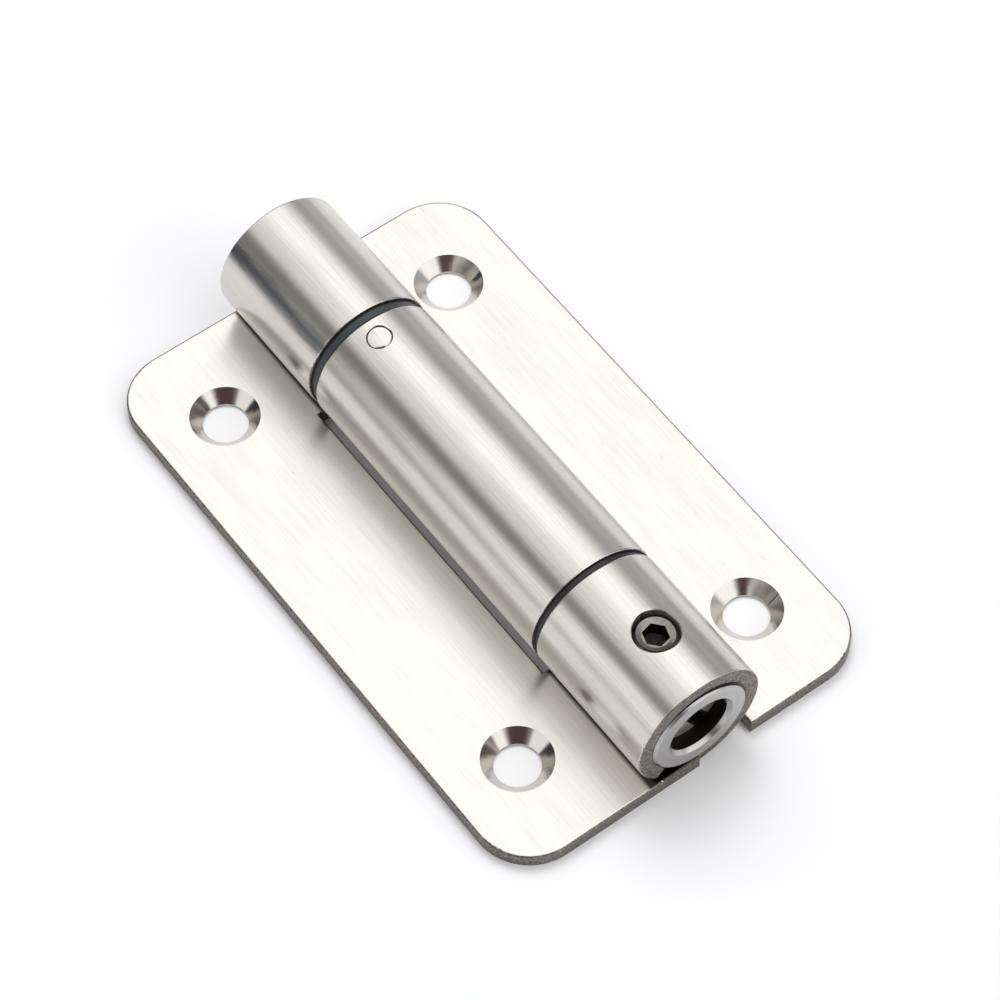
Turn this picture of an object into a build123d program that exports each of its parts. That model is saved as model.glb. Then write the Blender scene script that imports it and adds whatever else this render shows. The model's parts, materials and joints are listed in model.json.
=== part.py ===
from build123d import *
from math import acos, atan2, cos, degrees, isclose, radians, sin, sqrt
import os

# Self-closing spring hinge for a cubicle door, in millimetres.
# X runs from the frame leaf (negative) to the door leaf (positive), Y from the adjuster end
# to the plain end, and Z is up from the leaves' undersides. The hinge axis is parallel to Y.

# Leaves, stamped and rolled from stainless sheet
sheet = 2.0
leaf_length = 89.0
leaf_width = 27.75
corner_radius = 7.5
edge_round = 0.35

# Barrel: each leaf's edge is rolled under, up and over into its knuckles
barrel_radius = 9.1
front_set_back = 0.65
front_knuckle_length = 20.35
back_knuckle_length = 20.1
front_gap = 0.9
back_gap = 1.5
notch_clearance = 2.25
seam_gap = 0.55
knuckle_end_round = 0.2
radial_hole_chamfer = 0.12

# Countersunk screw holes, two in each leaf
hole_radius = 3.0
hole_pitch = 62.8
hole_from_axis = 17.8
sink_radius = 4.6
sink_angle = 90

# Fits between the turned pieces
turning_clearance = 0.05
press_clearance = 0.02
running_clearance = 0.06
face_clearance = 0.05

# Nylon bushes and thrust washers
bush_wall = 1.0
front_bush_length = 8.0
back_bush_inset = 0.6
washer_inset = 0.4
washer_bore_clearance = 0.2

# Adjuster plug in the front knuckle
plug_inset = 0.25
plug_rim_chamfer = 0.35
recess_radius = 4.3
recess_depth = 2.5
recess_mouth_chamfer = 0.5
driver_slot_width = 1.5
driver_slot_land = 0.5
driver_slot_depth = 2.0
driver_slot_angle = -60

# Lock screw, an M6 by 4 socket set screw
thread_radius = 3.0
lock_screw_length = 4.0
lock_screw_inset = 0.9
lock_screw_rim_chamfer = 0.5
lock_screw_point_chamfer = 0.85
lock_screw_from_end = 10.0
lock_screw_angle = 3
groove_side_clearance = 0.15
hex_across_flats = 3.0
hex_depth = 2.2
hex_angle = 43

# Anchor plug, cross-pinned in the centre knuckle
anchor_body_length = 11.0
anchor_pin_radius = 1.6
anchor_pin_from_end = 2.9
anchor_pin_angle = -6
anchor_pin_past_axis = 4.0
anchor_pin_chamfer = 0.15
pin_clearance = 0.04

# Torsion spring and the arbor it is guided by
wire_radius = 1.0
coil_clearance = 0.8
coil_gap = 0.25
leg_bend_radius = 2.0
leg_length = 3.4
leg_seat_clearance = 0.15
arbor_clearance = 1.3
arbor_socket_depth = 5.6
arbor_end_chamfer = 0.4

# Stations along the axis, front to back
front_end = -leaf_length / 2
front_face = front_end + front_set_back
front_inner = front_face + front_knuckle_length
centre_front = front_inner + front_gap
back_end = leaf_length / 2
back_inner = back_end - back_knuckle_length
centre_back = back_inner - back_gap
lock_screw_station = front_end + lock_screw_from_end
anchor_pin_station = centre_back - anchor_pin_from_end
anchor_front = centre_back - anchor_body_length
front_bush_back = centre_front + front_bush_length

# Radii worked out from the barrel inwards
bore_radius = barrel_radius - sheet
plug_radius = bore_radius - turning_clearance
bush_outer = bore_radius - press_clearance
bush_inner = bush_outer - bush_wall
journal_radius = bush_inner - running_clearance
lock_screw_radius = thread_radius - turning_clearance
lock_screw_face = barrel_radius - lock_screw_inset
lock_screw_tip = lock_screw_face - lock_screw_length
groove_floor_radius = lock_screw_tip - face_clearance
coil_radius = bore_radius - coil_clearance - wire_radius
arbor_radius = coil_radius - wire_radius - arbor_clearance

# The notch clears the round foot of the other leaf's knuckle where it stands in the sheet
knuckle_foot = sqrt(barrel_radius**2 - bore_radius**2)
notch_reach = knuckle_foot + notch_clearance
# The roll stops short of a full turn, with its free edge just above the leaf's top
seam_angle = degrees(acos((bore_radius - seam_gap) / barrel_radius))

# The spring's legs stand in slots that cross the ends of both plugs
leg_slot_width = 2 * (wire_radius + leg_seat_clearance)
leg_slot_depth = leg_length + 2 * leg_seat_clearance
journal_end = front_bush_back + leg_slot_depth
coil_front = journal_end + leg_bend_radius + leg_seat_clearance
coil_back = anchor_front - leg_bend_radius - leg_seat_clearance
coil_length = coil_back - coil_front
coil_pitch = 2 * wire_radius + coil_gap

hinge_axis = Axis((0, 0, barrel_radius), (0, 1, 0))
lengthwise = Plane(origin=(0, 0, barrel_radius), x_dir=(0, 1, 0), z_dir=(1, 0, 0))


def facing_front(station):
    """Plane square to the axis that looks to the front, with X right and Z up in it."""
    return Plane(origin=(0, station, barrel_radius), x_dir=(1, 0, 0), z_dir=(0, -1, 0))


def facing_back(station):
    """Plane square to the axis that looks to the back."""
    return Plane(origin=(0, station, barrel_radius), x_dir=(-1, 0, 0), z_dir=(0, 1, 0))


def facing_out(station, angle):
    """Plane on the axis that looks out at an angle from straight up, positive towards +X."""
    outwards = (sin(radians(angle)), 0, cos(radians(angle)))
    return Plane(origin=(0, station, barrel_radius), x_dir=(0, 1, 0), z_dir=outwards)


def flat_plate(side, passing_spans):
    """Flat part of a leaf, from the axis outwards, notched where the other leaf's knuckles pass."""
    with BuildPart() as plate:
        with BuildSketch(Plane.XY) as outline:
            with Locations((side * leaf_width / 2, 0)):
                Rectangle(leaf_width, leaf_length)
            outer_corners = outline.vertices().sort_by(Axis.X)[::side][-2:]
            fillet(outer_corners, corner_radius)
            for span_front, span_back in passing_spans:
                with Locations((side * notch_reach / 2, (span_front + span_back) / 2)):
                    Rectangle(notch_reach, span_back - span_front, mode=Mode.SUBTRACT)
        extrude(amount=sheet)
        top_outline = plate.faces().sort_by(Axis.Z)[-1].edges()
        fillet(top_outline.filter_by(lambda edge: abs(edge.center().X) > edge_round), edge_round)
    return plate.part


def rolled_leaf(side, knuckle_spans, passing_spans, radial_plane, radial_hole_radius):
    """A leaf: its plate, its rolled knuckles, its countersunk holes and one hole into its barrel."""
    plate = flat_plate(side, passing_spans)
    roll_start = seam_angle - 90 if side > 0 else -90
    with BuildPart() as leaf:
        for span_front, span_back in knuckle_spans:
            with BuildSketch(facing_front(span_back)):
                with BuildLine():
                    outer = CenterArc((0, 0), barrel_radius, roll_start, 360 - seam_angle)
                    inner = CenterArc((0, 0), bore_radius, roll_start, 360 - seam_angle)
                    Line(outer @ 0, inner @ 0)
                    Line(outer @ 1, inner @ 1)
                make_face()
            extrude(amount=span_back - span_front)
        outer_rims = leaf.edges().filter_by(GeomType.CIRCLE)
        outer_rims = outer_rims.filter_by(lambda edge: isclose(edge.radius, barrel_radius))
        fillet(outer_rims, knuckle_end_round)
        add(plate)
        with Locations(Plane.XY.offset(sheet)):
            with Locations((side * hole_from_axis, 0)):
                with GridLocations(1, hole_pitch, 1, 2):
                    CounterSinkHole(hole_radius, sink_radius, counter_sink_angle=sink_angle)
        with BuildSketch(radial_plane):
            Circle(radial_hole_radius)
        extrude(amount=2 * barrel_radius, mode=Mode.SUBTRACT)
        hole_axis = Axis(radial_plane.origin, radial_plane.z_dir)
        chamfer(leaf.edges().sort_by(hole_axis)[-1], radial_hole_chamfer)
    return leaf


front_knuckle = (front_face, front_inner)
centre_knuckle = (centre_front, centre_back)
back_knuckle = (back_inner, back_end)

across_lock_screw = facing_out(lock_screw_station, lock_screw_angle)
across_anchor_pin = facing_out(anchor_pin_station, anchor_pin_angle)

# Frame leaf: the front and back knuckles, and the lock screw's hole in the front one
frame_leaf = rolled_leaf(
    -1,
    [front_knuckle, back_knuckle],
    [(front_inner, back_inner)],
    across_lock_screw,
    thread_radius,
)

# Door leaf: the centre knuckle, and the anchor pin's hole near its back end
door_leaf = rolled_leaf(
    1,
    [centre_knuckle],
    [(front_end, centre_front), (centre_back, back_end)],
    across_anchor_pin,
    anchor_pin_radius + pin_clearance,
)

# Torsion spring: left-hand coil, so that opening the door winds it up, with an axial leg at each end
axial = Vector(0, 1, 0)
with BuildPart() as torsion_spring:
    with BuildLine() as wire_path:
        coil = Helix(
            pitch=coil_pitch,
            height=coil_length,
            radius=coil_radius,
            center=(0, coil_front, barrel_radius),
            direction=(0, 1, 0),
            lefthand=True,
        )
        leg_roots = []
        for end, outwards in ((0, axial * -1), (1, axial)):
            start = coil @ end
            along = (coil % end) * (-1 if end == 0 else 1)
            turn = radians(along.get_angle(outwards))
            to_centre = (outwards - along * along.dot(outwards)).normalized()
            back_from_centre = along * sin(turn) - to_centre * cos(turn)
            leg_root = start + (to_centre + back_from_centre) * leg_bend_radius
            TangentArc(start, leg_root, tangent=along)
            Line(leg_root, leg_root + outwards * leg_length)
            leg_roots.append(leg_root)
    with BuildSketch(Plane(origin=wire_path.wire() @ 0, z_dir=wire_path.wire() % 0)):
        Circle(wire_radius)
    sweep(path=wire_path.wire())


def leg_angle(leg_root):
    """Angle of a spring leg round the axis, in degrees, as the facing_front planes measure it."""
    return degrees(atan2(leg_root.Z - barrel_radius, leg_root.X))


adjuster_slot_angle = leg_angle(leg_roots[0])
anchor_slot_angle = leg_angle(leg_roots[1])

# Adjuster plug: driver recess, groove for the lock screw, journal for the centre knuckle's bush
plug_front = front_end + plug_inset
groove_half_width = lock_screw_radius + groove_side_clearance
groove_front = lock_screw_station - groove_half_width
groove_back = lock_screw_station + groove_half_width
with BuildPart() as adjuster_plug:
    with BuildSketch(lengthwise):
        with BuildLine():
            Polyline(
                (plug_front, 0),
                (plug_front, plug_radius),
                (groove_front, plug_radius),
                (groove_front, groove_floor_radius),
                (groove_back, groove_floor_radius),
                (groove_back, plug_radius),
                (front_inner, plug_radius),
                (front_inner, journal_radius),
                (journal_end, journal_radius),
                (journal_end, 0),
                close=True,
            )
        make_face()
    revolve(axis=hinge_axis)
    with Locations(facing_front(plug_front)):
        Hole(recess_radius, depth=recess_depth)
    front_rims = adjuster_plug.edges().filter_by(GeomType.CIRCLE).group_by(Axis.Y)[0]
    chamfer(front_rims.sort_by(SortBy.RADIUS)[0], recess_mouth_chamfer)
    front_rims = adjuster_plug.edges().filter_by(GeomType.CIRCLE).group_by(Axis.Y)[0]
    chamfer(front_rims.sort_by(SortBy.RADIUS)[-1], plug_rim_chamfer)
    with BuildSketch(facing_front(plug_front + recess_depth)):
        SlotOverall(2 * (recess_radius - driver_slot_land), driver_slot_width, rotation=driver_slot_angle)
    extrude(amount=-driver_slot_depth, mode=Mode.SUBTRACT)
    with Locations(facing_back(journal_end)):
        Hole(arbor_radius + running_clearance, depth=arbor_socket_depth)
    with BuildSketch(facing_front(journal_end)):
        Rectangle(2 * bore_radius, leg_slot_width, rotation=adjuster_slot_angle)
    extrude(amount=leg_slot_depth, mode=Mode.SUBTRACT)

# Lock screw: hex socket set screw whose flat point stands in the adjuster's groove
with BuildPart() as lock_screw:
    with BuildSketch(across_lock_screw.offset(lock_screw_tip)):
        Circle(lock_screw_radius)
    extrude(amount=lock_screw_length)
    screw_axis = Axis(across_lock_screw.origin, across_lock_screw.z_dir)
    chamfer(lock_screw.edges().filter_by(GeomType.CIRCLE).sort_by(screw_axis)[0], lock_screw_point_chamfer)
    chamfer(lock_screw.edges().filter_by(GeomType.CIRCLE).sort_by(screw_axis)[-1], lock_screw_rim_chamfer)
    with BuildSketch(across_lock_screw.offset(lock_screw_face)):
        RegularPolygon(hex_across_flats / 2, 6, major_radius=False, rotation=hex_angle)
    extrude(amount=-hex_depth, mode=Mode.SUBTRACT)

# Anchor plug: pinned body in the centre knuckle, journal in the back knuckle's bush
journal_back = back_end - plug_inset
with BuildPart() as anchor_plug:
    with BuildSketch(lengthwise):
        with BuildLine():
            Polyline(
                (anchor_front, 0),
                (anchor_front, plug_radius),
                (centre_back, plug_radius),
                (centre_back, journal_radius),
                (journal_back, journal_radius),
                (journal_back, 0),
                close=True,
            )
        make_face()
    revolve(axis=hinge_axis)
    chamfer(anchor_plug.edges().filter_by(GeomType.CIRCLE).sort_by(Axis.Y)[-1], plug_rim_chamfer)
    with Locations(facing_front(anchor_front)):
        Hole(arbor_radius + press_clearance, depth=arbor_socket_depth)
    with BuildSketch(facing_front(anchor_front)):
        Rectangle(2 * bore_radius, leg_slot_width, rotation=anchor_slot_angle)
    extrude(amount=-leg_slot_depth, mode=Mode.SUBTRACT)
    with BuildSketch(across_anchor_pin.offset(-anchor_pin_past_axis)):
        Circle(anchor_pin_radius + pin_clearance)
    extrude(amount=2 * barrel_radius, mode=Mode.SUBTRACT)

# Anchor pin: pressed in from the top and dressed flush with the round of the knuckle
with BuildPart() as anchor_pin:
    with BuildSketch(across_anchor_pin.offset(-anchor_pin_past_axis)):
        Circle(anchor_pin_radius)
    extrude(amount=2 * barrel_radius)
    with BuildSketch(facing_front(centre_back)):
        Circle(barrel_radius)
    extrude(amount=centre_back - centre_front, mode=Mode.INTERSECT)
    pin_axis = Axis(across_anchor_pin.origin, across_anchor_pin.z_dir)
    chamfer(anchor_pin.edges().sort_by(pin_axis)[-1], anchor_pin_chamfer)

# Arbor: plain rod through the spring, pressed into the anchor plug and free in the adjuster plug
arbor_front = journal_end - arbor_socket_depth + face_clearance
arbor_back = anchor_front + arbor_socket_depth - face_clearance
with BuildPart() as spring_arbor:
    with BuildSketch(facing_front(arbor_back)):
        Circle(arbor_radius)
    extrude(amount=arbor_back - arbor_front)
    chamfer(spring_arbor.edges().filter_by(GeomType.CIRCLE), arbor_end_chamfer)


def ring(span_front, span_back, outer_radius, inner_radius):
    """Plain ring on the hinge axis, such as a bush or a washer."""
    with BuildPart() as round_ring:
        with BuildSketch(facing_front(span_back)):
            Circle(outer_radius)
            Circle(inner_radius, mode=Mode.SUBTRACT)
        extrude(amount=span_back - span_front)
    return round_ring


washer_outer = barrel_radius - washer_inset
washer_bore = journal_radius + washer_bore_clearance
front_washer = ring(front_inner + face_clearance, centre_front - face_clearance, washer_outer, washer_bore)
back_washer = ring(centre_back + face_clearance, back_inner - face_clearance, washer_outer, washer_bore)
front_bush = ring(centre_front, front_bush_back, bush_outer, bush_inner)
back_bush = ring(back_inner, back_end - back_bush_inset, bush_outer, bush_inner)

pieces = {
    "frame_leaf": frame_leaf,
    "door_leaf": door_leaf,
    "adjuster_plug": adjuster_plug,
    "lock_screw": lock_screw,
    "anchor_plug": anchor_plug,
    "anchor_pin": anchor_pin,
    "torsion_spring": torsion_spring,
    "spring_arbor": spring_arbor,
    "front_bush": front_bush,
    "back_bush": back_bush,
    "front_washer": front_washer,
    "back_washer": back_washer,
}
os.makedirs("parts", exist_ok=True)
for name, piece in pieces.items():
    piece.part.label = name
    export_step(piece.part, f"parts/{name}.step")
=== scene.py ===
"""Looks of a cubicle door's spring hinge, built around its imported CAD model.

The CAD gives every size and place. This script dresses its solids in brushed, turned and moulded
finishes, cuts the lock screw's thread, and sets the studio: pale floor, soft light and camera.
"""

import json
import logging
import math
from dataclasses import dataclass
from enum import Enum
from typing import Any

import bmesh
import bpy
from mathutils import Matrix, Vector


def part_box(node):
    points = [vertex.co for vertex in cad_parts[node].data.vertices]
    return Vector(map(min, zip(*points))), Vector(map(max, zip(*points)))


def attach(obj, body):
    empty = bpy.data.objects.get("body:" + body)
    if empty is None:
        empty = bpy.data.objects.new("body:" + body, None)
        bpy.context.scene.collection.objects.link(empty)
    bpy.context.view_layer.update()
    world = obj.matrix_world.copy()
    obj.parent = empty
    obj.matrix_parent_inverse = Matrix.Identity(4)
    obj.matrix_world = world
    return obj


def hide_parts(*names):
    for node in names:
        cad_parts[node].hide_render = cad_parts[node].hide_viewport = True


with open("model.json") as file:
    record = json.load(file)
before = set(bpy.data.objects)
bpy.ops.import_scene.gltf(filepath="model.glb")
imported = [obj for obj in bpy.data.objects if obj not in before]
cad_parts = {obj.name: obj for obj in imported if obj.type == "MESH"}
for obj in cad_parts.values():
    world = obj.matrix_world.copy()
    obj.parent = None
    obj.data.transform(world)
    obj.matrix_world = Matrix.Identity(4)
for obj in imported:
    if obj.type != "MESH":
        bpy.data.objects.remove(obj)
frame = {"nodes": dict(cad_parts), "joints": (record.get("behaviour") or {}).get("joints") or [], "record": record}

MM = 0.001
# A mask tells one surface from the next by this much
HAIR = 0.03 * MM

Tree = bpy.types.NodeTree

log = logging.getLogger("spring_hinge")


class Slot(Enum):
    """Material slots of the record. No piece here takes its finish from them."""

    SCREW = "screw_steel"


def linear(colour: str) -> tuple[float, float, float, float]:
    """Turns an sRGB hex colour to the linear values that Blender's sockets take.

    Args:
        colour: Hex colour, such as "#d9d6d0".

    Returns:
        Red, green, blue and an alpha of one.
    """
    parts = [int(colour[i : i + 2], 16) / 255 for i in (1, 3, 5)]
    red, green, blue = (c / 12.92 if c <= 0.04045 else ((c + 0.055) / 1.055) ** 2.4 for c in parts)
    return red, green, blue, 1.0


def add_node(tree: Tree, kind: str, inputs: dict[Any, Any] | None = None, **settings: Any) -> Any:
    """Adds a node with its settings and links.

    Args:
        tree: Node tree that takes the node.
        kind: Blender's name of the node's type.
        inputs: A value, a node or an output socket for each input, by its name or number.
        settings: Properties of the node.

    Returns:
        The node.
    """
    node = tree.nodes.new(kind)
    for name, value in settings.items():
        setattr(node, name, value)
    for key, value in (inputs or {}).items():
        named = [s for s in node.inputs if s.enabled and s.name == key]
        socket = named[0] if named else node.inputs[key]
        if isinstance(value, bpy.types.Node):
            value = next(s for s in value.outputs if s.enabled)
        if isinstance(value, bpy.types.NodeSocket):
            tree.links.new(value, socket)
        else:
            socket.default_value = value
    return node


def new_material(name: str) -> tuple[bpy.types.Material, Tree]:
    """Starts a material with an empty node tree.

    Args:
        name: Name of the material.

    Returns:
        The material and its node tree.
    """
    material = bpy.data.materials.new(name)
    material.use_nodes = True
    material.node_tree.nodes.clear()
    return material, material.node_tree


def dress(piece: bpy.types.Object, material: bpy.types.Material) -> None:
    """Puts one material on a piece in place of any that it has."""
    piece.data.materials.clear()
    piece.data.materials.append(material)


@dataclass(frozen=True)
class Place:
    """Where each point of a piece lies, as the sockets that the masks of a finish share."""

    tree: Tree
    point: Any
    x: Any
    y: Any
    z: Any
    across: Any
    from_axis: Any

    @classmethod
    def on(cls, tree: Tree, axis_height: float) -> "Place":
        """Adds the nodes that say where a point is.

        Args:
            tree: Node tree that takes the nodes.
            axis_height: Height of the hinge's axis, in metres.

        Returns:
            The point and its coordinates, and its offset and distance from the axis.
        """
        point = add_node(tree, "ShaderNodeTexCoord").outputs["Object"]
        axes = add_node(tree, "ShaderNodeSeparateXYZ", {0: point}).outputs
        offset = add_node(
            tree, "ShaderNodeVectorMath", {0: point, 1: (0, 0, axis_height)}, operation="SUBTRACT"
        )
        across = add_node(
            tree, "ShaderNodeVectorMath", {0: offset, 1: (1, 0, 1)}, operation="MULTIPLY"
        ).outputs["Vector"]
        distance = add_node(tree, "ShaderNodeVectorMath", {0: across}, operation="LENGTH")
        x, y, z = (axes[name] for name in "XYZ")
        return cls(tree, point, x, y, z, across, distance.outputs["Value"])


@dataclass(frozen=True)
class BrushedSheet:
    """Stainless sheet, belt brushed along the barrel, then stamped, sunk and rolled.

    The eye gets straight hairlines that run along the barrel and stretch each reflection across it,
    a few darker scratches, speckled grey-brown cut edges, sleek countersinks, darker bores, a dark
    line round the pin, painted shade in the crevice beside the barrel, and a ragged painted dark
    reflection with scuffs along the back knuckle. Real hairlines are about 0.05 mm wide. They are
    drawn wider here, so that they show.
    """

    name: str
    hole_x: float
    hole_y: float
    barrel_radius: float
    pin_station: float
    dark_reflection_from: float
    # Where the zones of the sheet begin and end
    pin_lean: float = -6.0
    pin_radius: float = 1.64 * MM
    pin_line: float = 0.05 * MM
    # Distances from the middle where the painted shade in the crevice starts and where it is full
    crevice: tuple[float, float] = (7.9 * MM, 7.2 * MM)
    sheet: float = 2.0 * MM
    sink_radius: float = 4.6 * MM
    edge_round: float = 0.35 * MM
    bore_depth: float = 0.15 * MM
    end_slope: float = 0.8
    # Tones
    flat_bright: str = "#ebe8e2"
    flat_dull: str = "#dfdcd6"
    roll_bright: str = "#dad7d1"
    roll_dull: str = "#cdcac3"
    scratch: str = "#8f8b85"
    # Painted dark reflection, with scuffs, along the back knuckle
    scuffed_dark_reflection: str = "#76797b"
    cut: str = "#9a958f"
    cut_speck: str = "#625d57"
    sink: str = "#cdc9c3"
    bore: str = "#8f8a84"
    # A dark line round the pin, and painted shade in the crevice beside the barrel
    pin_line_and_crevice_shade: str = "#4a443f"
    # Patterns: the size of a streak across and along the barrel, and the span of noise that shows
    streak_detail: float = 2.0
    streak_roughness: float = 0.6
    hair: tuple[float, float] = (0.18 * MM, 9 * MM)
    cloud: tuple[float, float] = (4 * MM, 14 * MM)
    cloud_weight: float = 0.5
    grain_span: tuple[float, float] = (0.5, 1.0)
    scratches: tuple[float, float] = (0.16 * MM, 5 * MM)
    scratch_span: tuple[float, float] = (0.76, 0.8)
    speck_size: float = 0.25 * MM
    speck_span: tuple[float, float] = (0.38, 0.62)
    # The painted dark reflection's ragged edge, middle, spread and fade
    dark_reflection_ragged: tuple[float, float] = (0.6 * MM, 5 * MM)
    dark_reflection_middle: float = -47.0
    dark_reflection_spread: float = 9.0
    dark_reflection_fade: tuple[float, float] = (0.5, 1.6)
    hair_depth: float = 0.004 * MM
    hair_strength: float = 0.3
    # Sheen
    hair_run: tuple[float, float, float] = (0.02, 1.0, 0.03)
    anisotropy: float = 0.6
    grain_polish: float = 0.04
    roll_roughness: float = 0.23
    flat_roughness: float = 0.35
    cut_roughness: float = 0.5
    bore_roughness: float = 0.5
    sink_roughness: float = 0.15

    def material(self) -> bpy.types.Material:
        """Builds the material.

        Returns:
            The brushed sheet material.
        """
        material, tree = new_material(self.name)
        place = Place.on(tree, self.barrel_radius)
        hair = self._streaks(place, self.hair)
        grain = self._grain(place, hair)
        outside = self._outside_share(place, HAIR)
        bore = self._bore_share(place)
        sink = self._sink_share(place)
        cut = self._cut_share(place, outside, sink)
        tone = self._tone(place, grain, outside, bore, sink, cut)
        rough = add_node(
            tree,
            "ShaderNodeMapRange",
            {"Value": outside, "To Min": self.roll_roughness, "To Max": self.flat_roughness},
        )
        rough = add_node(
            tree,
            "ShaderNodeMath",
            {0: grain, 1: -self.grain_polish, 2: rough},
            operation="MULTIPLY_ADD",
        )
        for share, roughness in (
            (bore, self.bore_roughness),
            (sink, self.sink_roughness),
            (cut, self.cut_roughness),
        ):
            rough = add_node(tree, "ShaderNodeMix", {"Factor": share, "A": rough, "B": roughness})
        # A countersink is cut after the brushing, so it has no hairlines
        plain = add_node(tree, "ShaderNodeMath", {0: 1.0, 1: sink}, operation="SUBTRACT")
        height = add_node(tree, "ShaderNodeMath", {0: hair, 1: plain}, operation="MULTIPLY")
        bump = add_node(
            tree,
            "ShaderNodeBump",
            {"Strength": self.hair_strength, "Distance": self.hair_depth, "Height": height},
        )
        # Reflections spread across the hairlines, which run along the barrel with a slight slant,
        # so that the faces at the ends have a direction across them too
        normal = add_node(tree, "ShaderNodeNewGeometry").outputs["Normal"]
        across = add_node(
            tree, "ShaderNodeVectorMath", {0: normal, 1: self.hair_run}, operation="CROSS_PRODUCT"
        )
        shader = add_node(
            tree,
            "ShaderNodeBsdfPrincipled",
            {
                "Base Color": tone,
                "Metallic": 1.0,
                "Roughness": rough,
                "Anisotropic": self.anisotropy,
                "Normal": bump,
                "Tangent": across,
            },
        )
        add_node(tree, "ShaderNodeOutputMaterial", {"Surface": shader})
        return material

    def _streaks(self, place: Place, size: tuple[float, float]) -> Any:
        """Adds noise that is drawn out along the barrel.

        Args:
            place: Sockets that say where a point is.
            size: Size of a streak across the barrel and along it, in metres.

        Returns:
            Node whose value runs from 0 to 1.
        """
        width, length = size
        stretch = add_node(
            place.tree,
            "ShaderNodeMapping",
            {"Vector": place.point, "Scale": (1 / width, 1 / length, 1 / width)},
        )
        return add_node(
            place.tree,
            "ShaderNodeTexNoise",
            {
                "Vector": stretch,
                "Scale": 1.0,
                "Detail": self.streak_detail,
                "Roughness": self.streak_roughness,
            },
        )

    def _grain(self, place: Place, hair: Any) -> Any:
        """Adds what moves the sheet's tone a little: hairlines, and softer clouds between them.

        Args:
            place: Sockets that say where a point is.
            hair: Node of the hairlines.

        Returns:
            Node whose value is 0 in the dull lines and 1 in the bright ones.
        """
        cloud = self._streaks(place, self.cloud)
        grain = add_node(
            place.tree,
            "ShaderNodeMath",
            {0: cloud, 1: self.cloud_weight, 2: hair},
            operation="MULTIPLY_ADD",
        )
        low, high = self.grain_span
        return add_node(
            place.tree, "ShaderNodeMapRange", {"Value": grain, "From Min": low, "From Max": high}
        )

    def _tone(
        self, place: Place, grain: Any, outside: Any, bore: Any, sink: Any, cut: Any
    ) -> Any:
        """Adds the sheet's colour, zone over zone.

        Args:
            place: Sockets that say where a point is.
            grain: Node that moves the tone a little.
            outside: Mask of the flat leaf.
            bore: Mask of the bores.
            sink: Mask of the countersinks.
            cut: Mask of the cut edges.

        Returns:
            Node with the colour.
        """
        tree = place.tree
        low, high = self.scratch_span
        lines = self._streaks(place, self.scratches)
        lines = add_node(
            tree, "ShaderNodeMapRange", {"Value": lines, "From Min": low, "From Max": high}
        )
        low, high = self.speck_span
        specks = add_node(
            tree, "ShaderNodeTexNoise", {"Vector": place.point, "Scale": 1 / self.speck_size}
        )
        specks = add_node(
            tree, "ShaderNodeMapRange", {"Value": specks, "From Min": low, "From Max": high}
        )
        tone, roll, edge = (
            add_node(
                tree,
                "ShaderNodeMix",
                {"Factor": share, "A": linear(dull), "B": linear(bright)},
                data_type="RGBA",
            )
            for share, dull, bright in (
                (grain, self.flat_dull, self.flat_bright),
                (grain, self.roll_dull, self.roll_bright),
                (specks, self.cut_speck, self.cut),
            )
        )
        inside = add_node(tree, "ShaderNodeMath", {0: 1.0, 1: outside}, operation="SUBTRACT")
        layers = (
            (inside, roll),
            (lines, linear(self.scratch)),
            # Painted dark reflection, with scuffs, along the back knuckle
            (self._dark_reflection_share(place), linear(self.scuffed_dark_reflection)),
            (bore, linear(self.bore)),
            # A dark line round the pin, and painted shade in the crevice beside the barrel
            (self._pin_line_and_crevice_shade_share(place), linear(self.pin_line_and_crevice_shade)),
            (sink, linear(self.sink)),
            (cut, edge),
        )
        for share, colour in layers:
            tone = add_node(
                tree, "ShaderNodeMix", {"Factor": share, "A": tone, "B": colour}, data_type="RGBA"
            )
        return tone

    def _outside_share(self, place: Place, margin: float) -> Any:
        """Adds the mask of all that lies further from the hinge's axis than the barrel's surface.

        Args:
            place: Sockets that say where a point is.
            margin: Distance outside the surface at which the mask starts, in metres.

        Returns:
            Node whose value is 1 outside.
        """
        return add_node(
            place.tree,
            "ShaderNodeMath",
            {0: place.from_axis, 1: self.barrel_radius + margin},
            operation="GREATER_THAN",
        )

    def _sink_share(self, place: Place) -> Any:
        """Adds the mask of the countersinks.

        Args:
            place: Sockets that say where a point is.

        Returns:
            Node whose value is 1 in a countersink.
        """
        tree = place.tree
        # All four holes lie on one another once the leaves are folded about both middles
        folded = add_node(tree, "ShaderNodeVectorMath", {0: place.point}, operation="ABSOLUTE")
        offset = add_node(
            tree,
            "ShaderNodeVectorMath",
            {0: folded, 1: (self.hole_x, self.hole_y, 0)},
            operation="SUBTRACT",
        )
        across = add_node(
            tree, "ShaderNodeVectorMath", {0: offset, 1: (1, 1, 0)}, operation="MULTIPLY"
        )
        distance = add_node(tree, "ShaderNodeVectorMath", {0: across}, operation="LENGTH")
        near = add_node(
            tree,
            "ShaderNodeMath",
            {0: distance.outputs["Value"], 1: self.sink_radius},
            operation="LESS_THAN",
        )
        above = add_node(tree, "ShaderNodeMath", {0: place.z, 1: HAIR}, operation="GREATER_THAN")
        return add_node(tree, "ShaderNodeMath", {0: near, 1: above}, operation="MULTIPLY")

    def _cut_share(self, place: Place, outside: Any, sink: Any) -> Any:
        """Adds the mask of the stamped edges: round the flat leaf and at the knuckles' ends.

        Args:
            place: Sockets that say where a point is.
            outside: Mask of the flat leaf.
            sink: Mask of the countersinks.

        Returns:
            Node whose value is 1 on a cut edge.
        """
        tree = place.tree
        middle = self.sheet / 2
        wall = add_node(
            tree, "ShaderNodeMath", {0: place.z, 1: middle, 2: middle - HAIR}, operation="COMPARE"
        )
        side = add_node(tree, "ShaderNodeMath", {0: outside, 1: wall}, operation="MULTIPLY")
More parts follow.
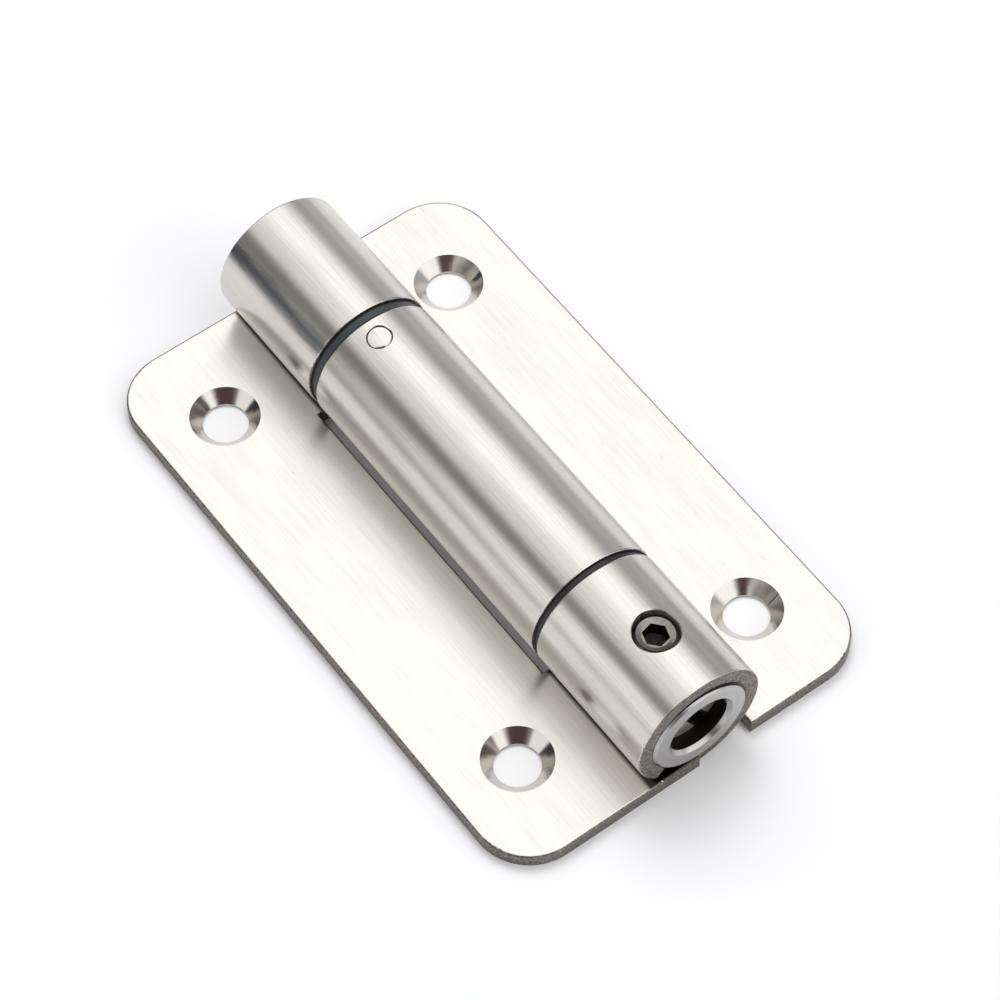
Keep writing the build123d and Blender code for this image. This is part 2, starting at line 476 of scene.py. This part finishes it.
        # The ends of a knuckle and of a leaf face along the barrel
        normal = add_node(tree, "ShaderNodeNewGeometry").outputs["True Normal"]
        along = add_node(tree, "ShaderNodeSeparateXYZ", {0: normal}).outputs["Y"]
        along = add_node(tree, "ShaderNodeMath", {0: along}, operation="ABSOLUTE")
        end = add_node(
            tree, "ShaderNodeMath", {0: along, 1: self.end_slope}, operation="GREATER_THAN"
        )
        share = add_node(tree, "ShaderNodeMath", {0: side, 1: end}, operation="MAXIMUM")
        return add_node(
            tree, "ShaderNodeMath", {0: share, 1: sink}, operation="SUBTRACT", use_clamp=True
        )

    def _bore_share(self, place: Place) -> Any:
        """Adds the mask of the knuckles' bores and of the holes through their walls.

        Args:
            place: Sockets that say where a point is.

        Returns:
            Node whose value is 1 in a bore.
        """
        skin = self._outside_share(place, -self.bore_depth)
        raised = add_node(
            place.tree,
            "ShaderNodeMath",
            {0: place.z, 1: self.sheet + self.edge_round},
            operation="GREATER_THAN",
        )
        return add_node(
            place.tree, "ShaderNodeMath", {0: raised, 1: skin}, operation="SUBTRACT", use_clamp=True
        )

    def _pin_line_and_crevice_shade_share(self, place: Place) -> Any:
        """Adds the mask of a fine dark line round the pin, and of painted shade in the crevice beside the barrel.

        Args:
            place: Sockets that say where a point is.

        Returns:
            Node whose value is 1 on the pin's line and in the painted shade of the crevice.
        """
        tree = place.tree
        # Painted shade in the crevice: none at the first distance from the middle, full at the second
        shade_starts, shade_full = self.crevice
        beside = add_node(tree, "ShaderNodeMath", {0: place.x}, operation="ABSOLUTE")
        near = add_node(
            tree,
            "ShaderNodeMapRange",
            {"Value": beside, "From Min": shade_starts, "From Max": shade_full},
            interpolation_type="SMOOTHSTEP",
        )
        top = add_node(
            tree,
            "ShaderNodeMath",
            {0: place.z, 1: self.sheet, 2: self.edge_round},
            operation="COMPARE",
        )
        # The painted shade stays off the barrel's own surface, because an open door turns it up to view
        beyond, skin = (self._outside_share(place, margin) for margin in (HAIR, -HAIR))
        shell = add_node(tree, "ShaderNodeMath", {0: skin, 1: beyond}, operation="SUBTRACT")
        flat = add_node(
            tree, "ShaderNodeMath", {0: top, 1: shell}, operation="SUBTRACT", use_clamp=True
        )
        crevice = add_node(tree, "ShaderNodeMath", {0: near, 1: flat}, operation="MULTIPLY")
        lean = math.radians(self.pin_lean)
        foot = (0, self.pin_station, self.barrel_radius)
        offset = add_node(
            tree, "ShaderNodeVectorMath", {0: place.point, 1: foot}, operation="SUBTRACT"
        )
        aside = add_node(
            tree,
            "ShaderNodeVectorMath",
            {0: offset, 1: (math.sin(lean), 0, math.cos(lean))},
            operation="CROSS_PRODUCT",
        )
        distance = add_node(tree, "ShaderNodeVectorMath", {0: aside}, operation="LENGTH")
        line = add_node(
            tree,
            "ShaderNodeMath",
            {0: distance.outputs["Value"], 1: self.pin_radius, 2: self.pin_line},
            operation="COMPARE",
        )
        return add_node(tree, "ShaderNodeMath", {0: crevice, 1: line}, operation="MAXIMUM")

    def _dark_reflection_share(self, place: Place) -> Any:
        """Adds the ragged streak of painted dark reflection, with scuffs, along the back knuckle.

        Args:
            place: Sockets that say where a point is.

        Returns:
            Node whose value is near 1 in the middle of the streak.
        """
        tree = place.tree
        height = add_node(
            tree, "ShaderNodeMath", {0: place.z, 1: self.barrel_radius}, operation="SUBTRACT"
        )
        turn = add_node(tree, "ShaderNodeMath", {0: place.x, 1: height}, operation="ARCTAN2")
        middle = math.radians(self.dark_reflection_middle)
        off = add_node(tree, "ShaderNodeMath", {0: turn, 1: middle}, operation="SUBTRACT")
        off = add_node(tree, "ShaderNodeMath", {0: off}, operation="ABSOLUTE")
        ragged = self._streaks(place, self.dark_reflection_ragged)
        spread = math.radians(self.dark_reflection_spread)
        off = add_node(
            tree, "ShaderNodeMath", {0: ragged, 1: spread, 2: off}, operation="MULTIPLY_ADD"
        )
        full, gone = (share * spread for share in self.dark_reflection_fade)
        streak = add_node(
            tree,
            "ShaderNodeMapRange",
            {"Value": off, "From Min": full, "From Max": gone, "To Min": 1.0, "To Max": 0.0},
            interpolation_type="SMOOTHSTEP",
        )
        behind = add_node(
            tree, "ShaderNodeMath", {0: place.y, 1: self.dark_reflection_from}, operation="GREATER_THAN"
        )
        return add_node(tree, "ShaderNodeMath", {0: streak, 1: behind}, operation="MULTIPLY")


@dataclass(frozen=True)
class TurnedSteel:
    """Stainless bar turned on a lathe.

    The eye gets fine rings round the barrel's axis, on the ends as on the rounds, a satin sheen, a
    black joint line with a crescent of painted shadow on one side of the adjuster's head, and a
    driver recess in painted shade, black but for two patches of its floor.
    """

    name: str
    axis_height: float
    front: float
    colour: str = "#bdbcbb"
    groove: str = "#a6a5a4"
    # The joint line, and the painted shadow crescent that widens it on one side
    joint: str = "#24211f"
    # Painted shade in the driver recess and along its slot
    recess_shade: str = "#2e2b29"
    recess_floor: str = "#c2beb9"
    feed: float = 0.12 * MM
    ring_detail: float = 1.0
    ring_depth: float = 0.004 * MM
    ring_strength: float = 0.3
    roughness: float = 0.24
    ring_polish: float = 0.06
    recess_roughness: float = 0.55
    # The joint's painted shadow: a circle shifted off the axis, so it is a crescent on one side
    joint_shadow_radius: float = 6.95 * MM
    joint_shadow_shift: tuple[float, float, float] = (-0.17 * MM, 0, -0.03 * MM)
    recess_radius: float = 4.35 * MM
    recess_mouth: float = 0.55 * MM
    recess_depth: float = 2.5 * MM
    slot_depth: float = 2.0 * MM
    slot_angle: float = -60.0
    # Half width of the painted shade along the driver's slot
    slot_shade_reach: float = 1.15 * MM

    def material(self) -> bpy.types.Material:
        """Builds the material.

        Returns:
            The turned steel material.
        """
        material, tree = new_material(self.name)
        place = Place.on(tree, self.axis_height)
        unrolled = add_node(tree, "ShaderNodeCombineXYZ", {"X": place.from_axis, "Y": place.y})
        rings = add_node(
            tree,
            "ShaderNodeTexNoise",
            {"Vector": unrolled, "Scale": 1 / self.feed, "Detail": self.ring_detail},
        )
        tone = add_node(
            tree,
            "ShaderNodeMix",
            {"Factor": rings, "A": linear(self.groove), "B": linear(self.colour)},
            data_type="RGBA",
        )
        recess, floor = self._recess_shares(place)
        layers = (
            # The joint line with its painted shadow crescent, then painted shade in the recess, then its unshaded
            # floor
            (self._joint_and_shadow_share(place), self.joint),
            (recess, self.recess_shade),
            (floor, self.recess_floor),
        )
        for share, colour in layers:
            tone = add_node(
                tree,
                "ShaderNodeMix",
                {"Factor": share, "A": tone, "B": linear(colour)},
                data_type="RGBA",
            )
        rough = add_node(
            tree,
            "ShaderNodeMapRange",
            {
                "Value": rings,
                "To Min": self.roughness + self.ring_polish,
                "To Max": self.roughness - self.ring_polish,
            },
        )
        rough = add_node(
            tree, "ShaderNodeMix", {"Factor": recess, "A": rough, "B": self.recess_roughness}
        )
        bump = add_node(
            tree,
            "ShaderNodeBump",
            {"Strength": self.ring_strength, "Distance": self.ring_depth, "Height": rings},
        )
        shader = add_node(
            tree,
            "ShaderNodeBsdfPrincipled",
            {"Base Color": tone, "Metallic": 1.0, "Roughness": rough, "Normal": bump},
        )
        add_node(tree, "ShaderNodeOutputMaterial", {"Surface": shader})
        return material

    def _joint_and_shadow_share(self, place: Place) -> Any:
        """Adds the mask of the joint line and its painted shadow, a crescent because the circle is shifted off the
        axis.

        Args:
            place: Sockets that say where a point is.

        Returns:
            Node whose value is 1 in the joint.
        """
        shifted = add_node(
            place.tree,
            "ShaderNodeVectorMath",
            {0: place.across, 1: self.joint_shadow_shift},
            operation="SUBTRACT",
        )
        distance = add_node(place.tree, "ShaderNodeVectorMath", {0: shifted}, operation="LENGTH")
        return add_node(
            place.tree,
            "ShaderNodeMath",
            {0: distance.outputs["Value"], 1: self.joint_shadow_radius},
            operation="GREATER_THAN",
        )

    def _recess_shares(self, place: Place) -> tuple[Any, Any]:
        """Adds the masks of the painted shade in the driver recess with its slot, and of the unshaded part of its
        floor.

        Args:
            place: Sockets that say where a point is.

        Returns:
            Nodes whose value is 1 in the recess's painted shade and on the unshaded part of its floor.
        """
        tree = place.tree
        depth = add_node(tree, "ShaderNodeMath", {0: place.y, 1: self.front}, operation="SUBTRACT")
        bottom = self.recess_depth + self.slot_depth + HAIR
        middle, reach = (bottom + self.recess_mouth) / 2, (bottom - self.recess_mouth) / 2
        deep = add_node(
            tree, "ShaderNodeMath", {0: depth, 1: middle, 2: reach}, operation="COMPARE"
        )
        narrow = add_node(
            tree,
            "ShaderNodeMath",
            {0: place.from_axis, 1: self.recess_radius},
            operation="LESS_THAN",
        )
        recess = add_node(tree, "ShaderNodeMath", {0: deep, 1: narrow}, operation="MULTIPLY")
        floor = add_node(
            tree, "ShaderNodeMath", {0: depth, 1: self.recess_depth, 2: HAIR}, operation="COMPARE"
        )
        floor = add_node(tree, "ShaderNodeMath", {0: floor, 1: narrow}, operation="MULTIPLY")
        # Painted shade spreads from the driver's slot along both of its sides, across the floor
        slot = math.radians(self.slot_angle)
        aside = add_node(
            tree,
            "ShaderNodeVectorMath",
            {0: place.across, 1: (-math.sin(slot), 0, math.cos(slot))},
            operation="DOT_PRODUCT",
        )
        slot_shade = add_node(
            tree,
            "ShaderNodeMath",
            {0: aside.outputs["Value"], 1: 0.0, 2: self.slot_shade_reach},
            operation="COMPARE",
        )
        unshaded_floor = add_node(
            tree, "ShaderNodeMath", {0: floor, 1: slot_shade}, operation="SUBTRACT", use_clamp=True
        )
        return recess, unshaded_floor


@dataclass(frozen=True)
class WireSteel:
    """Drawn or rolled steel, oiled: the spring's wire, the set screw, and the painted shade in its socket.

    The eye gets a dark, oily grey with faint mottling.
    """

    name: str
    colour: str
    mottle: str
    grain: float = 0.4 * MM
    grain_detail: float = 3.0
    grain_depth: float = 0.003 * MM
    grain_strength: float = 0.2
    roughness: float = 0.32
    polished: float = 0.06
    dulled: float = 0.08

    def material(self) -> bpy.types.Material:
        """Builds the material.

        Returns:
            The drawn steel material.
        """
        material, tree = new_material(self.name)
        point = add_node(tree, "ShaderNodeTexCoord").outputs["Object"]
        patches = add_node(
            tree,
            "ShaderNodeTexNoise",
            {"Vector": point, "Scale": 1 / self.grain, "Detail": self.grain_detail},
        )
        tone = add_node(
            tree,
            "ShaderNodeMix",
            {"Factor": patches, "A": linear(self.mottle), "B": linear(self.colour)},
            data_type="RGBA",
        )
        rough = add_node(
            tree,
            "ShaderNodeMapRange",
            {
                "Value": patches,
                "To Min": self.roughness - self.polished,
                "To Max": self.roughness + self.dulled,
            },
        )
        bump = add_node(
            tree,
            "ShaderNodeBump",
            {"Strength": self.grain_strength, "Distance": self.grain_depth, "Height": patches},
        )
        shader = add_node(
            tree,
            "ShaderNodeBsdfPrincipled",
            {"Base Color": tone, "Metallic": 1.0, "Roughness": rough, "Normal": bump},
        )
        add_node(tree, "ShaderNodeOutputMaterial", {"Surface": shader})
        return material


@dataclass(frozen=True)
class MouldedPlastic:
    """Engineering plastic, moulded or turned, as bushes and thrust washers are made of.

    The eye gets a dense dark body with a soft sheen, a faint spark-eroded grain and a black line
    along each face of a washer.
    """

    name: str
    colour: str
    worn: str
    ior: float
    faces: tuple[float, ...] = ()
    face_line: float = 0.25 * MM
    line: str = "#0b0b0b"
    grain: float = 0.08 * MM
    grain_detail: float = 2.0
    grain_depth: float = 0.01 * MM
    grain_strength: float = 0.25
    roughness: float = 0.42
    grain_polish: float = 0.08

    def material(self) -> bpy.types.Material:
        """Builds the material.

        Returns:
            The plastic material.
        """
        material, tree = new_material(self.name)
        point = add_node(tree, "ShaderNodeTexCoord").outputs["Object"]
        grain = add_node(
            tree,
            "ShaderNodeTexNoise",
            {"Vector": point, "Scale": 1 / self.grain, "Detail": self.grain_detail},
        )
        tone = add_node(
            tree,
            "ShaderNodeMix",
            {"Factor": grain, "A": linear(self.colour), "B": linear(self.worn)},
            data_type="RGBA",
        )
        along = add_node(tree, "ShaderNodeSeparateXYZ", {0: point}).outputs["Y"]
        for face in self.faces:
            near = add_node(
                tree, "ShaderNodeMath", {0: along, 1: face, 2: self.face_line}, operation="COMPARE"
            )
            tone = add_node(
                tree,
                "ShaderNodeMix",
                {"Factor": near, "A": tone, "B": linear(self.line)},
                data_type="RGBA",
            )
        rough = add_node(
            tree,
            "ShaderNodeMapRange",
            {
                "Value": grain,
                "To Min": self.roughness - self.grain_polish,
                "To Max": self.roughness + self.grain_polish,
            },
        )
        bump = add_node(
            tree,
            "ShaderNodeBump",
            {"Strength": self.grain_strength, "Distance": self.grain_depth, "Height": grain},
        )
        shader = add_node(
            tree,
            "ShaderNodeBsdfPrincipled",
            {"Base Color": tone, "Roughness": rough, "IOR": self.ior, "Normal": bump},
        )
        add_node(tree, "ShaderNodeOutputMaterial", {"Surface": shader})
        return material


@dataclass
class Barrel:
    """Places that every sub-assembly shares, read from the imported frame."""

    axis_height: float
    hole_x: float
    hole_y: float

    @classmethod
    def from_frame(cls, record: dict[str, Any]) -> "Barrel":
        """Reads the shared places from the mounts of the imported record.

        Args:
            record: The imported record.

        Returns:
            The shared places.
        """
        mounts = {mount["name"]: mount for mount in record["mounts"]}
        holes = mounts["door_leaf_holes"]
        return cls(
            axis_height=mounts["adjuster_recess"]["pos_m"][2],
            hole_x=holes["pos_m"][0],
            hole_y=holes["dims"]["spacing_y_mm"] * MM / 2,
        )


@dataclass
class Leaves:
    """The two stamped leaves with their rolled knuckles."""

    barrel: Barrel
    nodes: dict[str, bpy.types.Object]

    def finish(self) -> BrushedSheet:
        """Fits the brushed finish to the holes, the pin and the back knuckle.

        Returns:
            The finish of both leaves.
        """
        return BrushedSheet(
            name="brushed stainless sheet",
            hole_x=self.barrel.hole_x,
            hole_y=self.barrel.hole_y,
            barrel_radius=self.barrel.axis_height,
            pin_station=sum(corner.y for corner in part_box("anchor_pin")) / 2,
            dark_reflection_from=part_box("back_washer")[1].y,
        )

    def build(self) -> None:
        """Dresses both leaves, and the pin, which is brushed flush with its knuckle."""
        brushed = self.finish().material()
        for piece in ("frame_leaf", "door_leaf", "anchor_pin"):
            dress(self.nodes[piece], brushed)
            log.info("%s dressed in brushed sheet", piece)


@dataclass
class TurnedPieces:
    """The turned pieces: adjuster plug, anchor plug and arbor."""

    barrel: Barrel
    nodes: dict[str, bpy.types.Object]

    def build(self) -> None:
        """Dresses the turned pieces."""
        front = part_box("adjuster_plug")[0].y
        turned = TurnedSteel("turned stainless bar", self.barrel.axis_height, front).material()
        for piece in ("adjuster_plug", "anchor_plug", "spring_arbor"):
            dress(self.nodes[piece], turned)
            log.info("%s dressed in turned steel", piece)


@dataclass
class SpringPack:
    """The torsion spring, its bushes and the thrust washers between the knuckles."""

    nodes: dict[str, bpy.types.Object]

    def build(self) -> None:
        """Dresses the spring and the plastic pieces."""
        wire = WireSteel("oiled spring wire", "#8a8a8e", "#6e6e72").material()
        nylon = MouldedPlastic("black nylon", "#141312", "#211f1e", ior=1.53).material()
        low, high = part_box("back_washer")
        faces = (low.y, high.y)
        acetal = MouldedPlastic("slate acetal", "#2b3033", "#3c4246", 1.48, faces).material()
        for piece, material in (
            ("torsion_spring", wire),
            ("front_washer", nylon),
            ("front_bush", nylon),
            ("back_bush", nylon),
            ("back_washer", acetal),
        ):
            dress(self.nodes[piece], material)
            log.info("%s dressed in %s", piece, material.name)


@dataclass
class LockScrew:
    """The M6 by 4 socket set screw, with its real thread, in place of the plain CAD one."""

    barrel: Barrel
    station: float
    direction: Vector
    face: float = 8.2 * MM
    length: float = 4.0 * MM
    major_radius: float = 2.95 * MM
    minor_radius: float = 2.4 * MM
    pitch: float = 1.0 * MM
    crest: float = 0.125 * MM
    root: float = 0.25 * MM
    rim_chamfer: float = 0.5 * MM
    point_chamfer: float = 0.85 * MM
    dish_radius: float = 1.8 * MM
    dish_depth: float = 0.2 * MM
    hex_across_flats: float = 3.0 * MM
    hex_depth: float = 2.2 * MM
    hex_angle: float = 43.0
    hex_sides: int = 6
    drill_point: float = 0.4 * MM
    steps: int = 60
    spare_turns: int = 2
    cuts: int = 4
    weld: float = 0.00125 * MM
    # The second finish, a painted shade, goes on the socket's walls and floor
    finishes: tuple[WireSteel, WireSteel] = (
        WireSteel("plain steel set screw", "#a19d97", "#6f6b67", roughness=0.28),
        WireSteel("oily broached socket", "#3f3b38", "#292624", roughness=0.5),
    )

    def build(self) -> bpy.types.Object:
        """Builds the screw and puts it in the place of its CAD node.

        Returns:
            The screw's object.
        """
        bm = bmesh.new()
        self._cut_thread(bm)
        self._trim(bm)
        self._close_point(bm)
        self._broach_socket(bm)
        bmesh.ops.recalc_face_normals(bm, faces=bm.faces[:])
        lean = Vector((0, 0, 1)).rotation_difference(self.direction).to_matrix().to_4x4()
        place = Matrix.Translation((0, self.station, self.barrel.axis_height)) @ lean
        bmesh.ops.transform(bm, matrix=place, verts=bm.verts[:])
        mesh = bpy.data.meshes.new("lock_screw_threaded")
        for finish in self.finishes:
            mesh.materials.append(finish.material())
        bm.to_mesh(mesh)
        bm.free()
        screw = bpy.data.objects.new("lock_screw_threaded", mesh)
        bpy.context.scene.collection.objects.link(screw)
        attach(screw, "lock")
        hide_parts("lock_screw")
        log.info("%s built with %d faces", screw.name, len(mesh.polygons))
        return screw

    def _cut_thread(self, bm: bmesh.types.BMesh) -> None:
        """Spins one pitch of the thread's profile up a helix, past both ends of the screw.

        Args:
            bm: Mesh that takes the thread.
        """
        flank = (self.pitch - self.crest - self.root) / 2
        start = self.face - self.length - self.pitch
        profile = [
            (self.minor_radius, 0.0),
            (self.minor_radius, self.root),
            (self.major_radius, self.root + flank),
            (self.major_radius, self.root + flank + self.crest),
            (self.minor_radius, self.pitch),
        ]
        verts = [bm.verts.new((radius, 0, start + height)) for radius, height in profile]
        edges = [bm.edges.new(pair) for pair in zip(verts, verts[1:])]
        turns = math.ceil(self.length / self.pitch) + self.spare_turns
        bmesh.ops.spin(
            bm,
            geom=verts + edges,
            cent=(0, 0, 0),
            axis=(0, 0, 1),
            dvec=(0, 0, self.pitch / self.steps),
            angle=math.tau * turns,
            steps=self.steps * turns,
        )
        bmesh.ops.remove_doubles(bm, verts=bm.verts[:], dist=self.weld)

    def _trim(self, bm: bmesh.types.BMesh) -> None:
        """Cuts the screw to length and chamfers its rim and its point.

        Args:
            bm: Mesh with the thread.
        """
        tip = self.face - self.length
        ends = ((self.face, -1, self.rim_chamfer), (tip, 1, self.point_chamfer))
        for height, inwards, chamfer in ends:
            for cut in range(self.cuts, -1, -1):
                plane = (0, 0, height + inwards * chamfer * cut / self.cuts)
                bmesh.ops.bisect_plane(
                    bm,
                    geom=bm.verts[:] + bm.edges[:] + bm.faces[:],
                    plane_co=plane,
                    plane_no=(0, 0, -inwards),
                    clear_outer=cut == 0,
                )
        for vert in bm.verts:
            radius = math.hypot(vert.co.x, vert.co.y)
            for height, inwards, chamfer in ends:
                limit = self.major_radius - chamfer + (vert.co.z - height) * inwards
                if radius > limit:
                    vert.co.xy *= limit / radius
                    radius = limit
        bmesh.ops.remove_doubles(bm, verts=bm.verts[:], dist=self.weld)

    def _rim_edges(self, bm: bmesh.types.BMesh, height: float) -> list[bmesh.types.BMEdge]:
        """Returns the open edges at a height."""
        rim = [edge for edge in bm.edges if edge.is_boundary]
        return [edge for edge in rim if all(abs(v.co.z - height) < HAIR for v in edge.verts)]

    def _close_point(self, bm: bmesh.types.BMesh) -> None:
        """Fills the flat point."""
        rim = self._rim_edges(bm, self.face - self.length)
        bmesh.ops.triangle_fill(bm, edges=rim, use_beauty=True)

    def _broach_socket(self, bm: bmesh.types.BMesh) -> None:
        """Makes the dished face round the hexagon, the socket's walls and its drilled floor.

        Args:
            bm: Mesh that is open at the face.
        """
        rim = self._rim_edges(bm, self.face)
        land = Matrix.Translation((0, 0, self.face - self.dish_depth))
        made = bmesh.ops.create_circle(
            bm, segments=self.steps, radius=self.dish_radius, matrix=land
        )
        dish = list({edge for vert in made["verts"] for edge in vert.link_edges})
        bmesh.ops.bridge_loops(bm, edges=rim + dish)
        turn = Matrix.Rotation(math.radians(self.hex_angle), 4, "Z")
        made = bmesh.ops.create_circle(
            bm,
            segments=self.hex_sides,
            radius=self.hex_across_flats / 2 / math.cos(math.pi / self.hex_sides),
            matrix=land @ turn,
        )
        mouth = list({edge for vert in made["verts"] for edge in vert.link_edges})
        bmesh.ops.triangle_fill(bm, edges=dish + mouth, use_beauty=True)
        walls = bmesh.ops.extrude_edge_only(bm, edges=mouth)["geom"]
        floor_verts = [g for g in walls if isinstance(g, bmesh.types.BMVert)]
        sink = self.hex_depth - self.dish_depth
        bmesh.ops.translate(bm, verts=floor_verts, vec=(0, 0, -sink))
        floor_edges = [g for g in walls if isinstance(g, bmesh.types.BMEdge)]
        floor_edges = [edge for edge in floor_edges if set(edge.verts) <= set(floor_verts)]
        floor = bmesh.ops.edgeloop_fill(bm, edges=floor_edges)["faces"]
        floor = bmesh.ops.poke(bm, faces=floor)
        bmesh.ops.translate(bm, verts=floor["verts"], vec=(0, 0, -self.drill_point))
        for face in floor["faces"] + [g for g in walls if isinstance(g, bmesh.types.BMFace)]:
            face.material_index = 1


@dataclass(frozen=True)
class Glow:
    """A soft round patch of the surroundings, brighter or darker than what lies round it.

    Its place is in degrees round the hinge and above the floor, and it fades from its inner to its
    outer radius, in degrees too.
    """

    azimuth: float
    elevation: float
    inner: float
    outer: float
    tone: str


def looking_in(azimuth: float, elevation: float) -> Vector:
    """Works out the direction from the hinge to a place round it.

    Args:
        azimuth: Degrees round the hinge, 0 in front of it.
        elevation: Degrees above the floor.

    Returns:
        The unit vector.
    """
    a, e = math.radians(azimuth), math.radians(elevation)
    return Vector((math.sin(a) * math.cos(e), -math.cos(a) * math.cos(e), math.sin(e)))


@dataclass
class Studio:
    """Pale floor, soft surroundings, one soft lamp for the shadow, and the camera."""

    floor_size: float = 6.0
    floor_drop: float = 0.02 * MM
    floor_colour: str = "#f8f8fa"
    strips_strength: float = 1.55
    # Degrees from straight up, positive towards the door leaf, and the tone there
    strips: tuple[tuple[float, str], ...] = (
        (-180, "#a8a8a8"),
        (-105, "#8c8c8c"),
        (-92, "#686868"),
        (-74, "#8c8c8c"),
        (-60, "#8a8a8a"),
        (-49, "#606060"),
        (-38, "#5c5c5c"),
        (-31, "#c8c8c8"),
        (-8, "#dadada"),
        (12, "#ffffff"),
        (27, "#fcfcfc"),
        (60, "#888888"),
        (75, "#a8a8a8"),
        (92, "#989898"),
        (115, "#8c8c8c"),
        (180, "#a8a8a8"),
    )
    glows: tuple[Glow, ...] = (
        Glow(-137, 16, 10, 18, "#2a2c2e"),
        Glow(-98, 20, 17, 25, "#e6e6e6"),
        Glow(-36, 36, 18, 34, "#4a3a39"),
        Glow(36, 18, 12, 24, "#ffffff"),
        Glow(100, 8, 8, 15, "#2c2a28"),
        Glow(160, 12, 16, 30, "#202020"),
    )
    lamp_azimuth: float = 150
    lamp_elevation: float = 60
    lamp_distance: float = 1.0
    lamp_size: float = 0.5
    lamp_power: float = 2.6
    camera_place: tuple[float, float, float] = (-150.57 * MM, -208.62 * MM, 397.99 * MM)
    camera_aim: tuple[float, float, float] = (3.613 * MM, 0.981 * MM, 0.0)
    camera_roll: float = -0.3485
    camera_lens: float = 134.56
    camera_near: float = 10 * MM

    def build(self) -> None:
        """Sets the whole studio."""
        self._floor()
        self._world()
        self._lamp()
        self._camera()
        bpy.context.scene.view_settings.view_transform = "Standard"

    def _floor(self) -> None:
        """Lays the pale floor."""
        bm = bmesh.new()
        bmesh.ops.create_grid(bm, x_segments=1, y_segments=1, size=self.floor_size / 2)
        mesh = bpy.data.meshes.new("floor")
        bm.to_mesh(mesh)
        bm.free()
        floor = bpy.data.objects.new("floor", mesh)
        floor.location.z = -self.floor_drop
        bpy.context.scene.collection.objects.link(floor)
        material, tree = new_material("pale studio floor")
        matt = add_node(tree, "ShaderNodeBsdfDiffuse", {"Color": linear(self.floor_colour)})
        add_node(tree, "ShaderNodeOutputMaterial", {"Surface": matt})
        dress(floor, material)

    def _world(self) -> None:
        """Sets the surroundings: long soft strips along the barrel, and soft round patches."""
        world = bpy.data.worlds.new("studio surroundings")
        bpy.context.scene.world = world
        world.use_nodes = True
        tree = world.node_tree
        tree.nodes.clear()
        direction = add_node(tree, "ShaderNodeTexCoord").outputs["Generated"]
        axes = add_node(tree, "ShaderNodeSeparateXYZ", {0: direction}).outputs
        lean = add_node(tree, "ShaderNodeMath", {0: axes["X"], 1: axes["Z"]}, operation="ARCTAN2")
        turn = add_node(
            tree, "ShaderNodeMapRange", {"Value": lean, "From Min": -math.pi, "From Max": math.pi}
        )
        strips = add_node(tree, "ShaderNodeValToRGB", {0: turn})
        ramp = strips.color_ramp
        ramp.interpolation = "EASE"
        while len(ramp.elements) < len(self.strips):
            ramp.elements.new(0.5)
        for element, (angle, tone) in zip(ramp.elements, self.strips):
            element.position = (angle + 180) / 360
            element.color = linear(tone)
        colour = strips.outputs["Color"]
        for glow in self.glows:
            middle = tuple(looking_in(glow.azimuth, glow.elevation))
            towards = add_node(
                tree, "ShaderNodeVectorMath", {0: direction, 1: middle}, operation="DOT_PRODUCT"
            )
            share = add_node(
                tree,
                "ShaderNodeMapRange",
                {
                    "Value": towards.outputs["Value"],
                    "From Min": math.cos(math.radians(glow.outer)),
                    "From Max": math.cos(math.radians(glow.inner)),
                },
                interpolation_type="SMOOTHSTEP",
            )
            colour = add_node(
                tree,
                "ShaderNodeMix",
                {"Factor": share, "A": colour, "B": linear(glow.tone)},
                data_type="RGBA",
            )
        light = add_node(
            tree, "ShaderNodeBackground", {"Color": colour, "Strength": self.strips_strength}
        )
        add_node(tree, "ShaderNodeOutputWorld", {"Surface": light})

    def _lamp(self) -> None:
        """Hangs the soft lamp that throws the shadow. The metal doesn't mirror it."""
        light = bpy.data.lights.new("soft lamp", "AREA")
        light.size = self.lamp_size
        light.energy = self.lamp_power
        lamp = bpy.data.objects.new("soft lamp", light)
        back = looking_in(self.lamp_azimuth, self.lamp_elevation)
        turn = back.to_track_quat("Z", "Y").to_matrix().to_4x4()
        lamp.matrix_world = Matrix.Translation(back * self.lamp_distance) @ turn
        lamp.visible_glossy = False
        bpy.context.scene.collection.objects.link(lamp)

    def _camera(self) -> None:
        """Puts the camera where the photograph was taken from."""
        data = bpy.data.cameras.new("photograph view")
        data.lens = self.camera_lens
        data.clip_start = self.camera_near
        camera = bpy.data.objects.new("photograph view", data)
        place, aim = Vector(self.camera_place), Vector(self.camera_aim)
        turn = (aim - place).to_track_quat("-Z", "Y").to_matrix().to_4x4()
        roll = Matrix.Rotation(math.radians(self.camera_roll), 4, "Z")
        camera.matrix_world = Matrix.Translation(place) @ turn @ roll
        bpy.context.scene.collection.objects.link(camera)
        bpy.context.scene.camera = camera


def main() -> None:
    """Builds the hinge's looks and the studio."""
    logging.basicConfig(level=logging.INFO, format="%(name)s: %(message)s")
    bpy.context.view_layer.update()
    nodes = frame["nodes"]
    barrel = Barrel.from_frame(frame["record"])
    Leaves(barrel, nodes).build()
    TurnedPieces(barrel, nodes).build()
    SpringPack(nodes).build()
    travel = next(joint for joint in frame["joints"] if joint["name"] == "lock_screw_travel")
    low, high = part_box("lock_screw")
    LockScrew(barrel, station=(low.y + high.y) / 2, direction=Vector(travel["axis"])).build()
    Studio().build()


if __name__ == "__main__":
    main()
